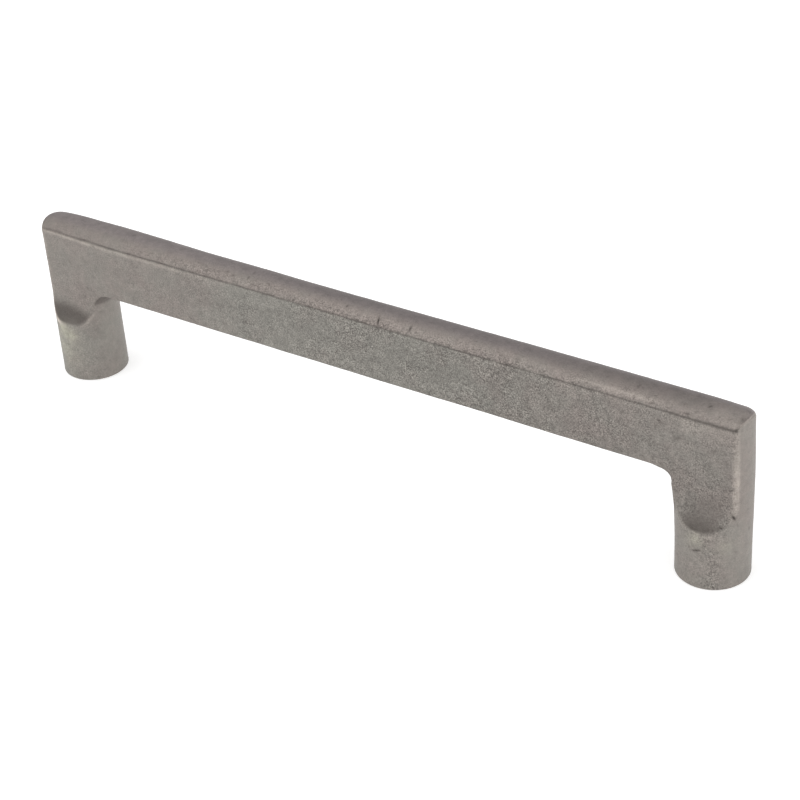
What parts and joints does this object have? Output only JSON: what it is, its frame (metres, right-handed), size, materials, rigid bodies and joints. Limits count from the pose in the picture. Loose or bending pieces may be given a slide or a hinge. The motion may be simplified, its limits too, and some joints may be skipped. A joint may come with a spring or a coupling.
{
  "type": "cabinet pull",
  "caption": "Cast bronze cabinet pull: a flat-sided bar with a domed top on round feet, aged grey-brown, gripped to open a drawer or door and screwed on from behind.",
  "frame": {"origin": "On the mounting surface, midway between the two screw holes.", "axes": "+X runs along the bar from the left foot to the right, +Y points to the back flat side, +Z points away from the door or drawer front, from the mounting faces to the crowned top."},
  "size_m": [0.1668, 0.0142, 0.0365],
  "materials": {
    "cast_bronze": "as-cast silicon bronze, satin, aged grey-brown"
  },
  "bodies": {
    "root": {"pull": "cast_bronze"}
  },
  "joints": []
}
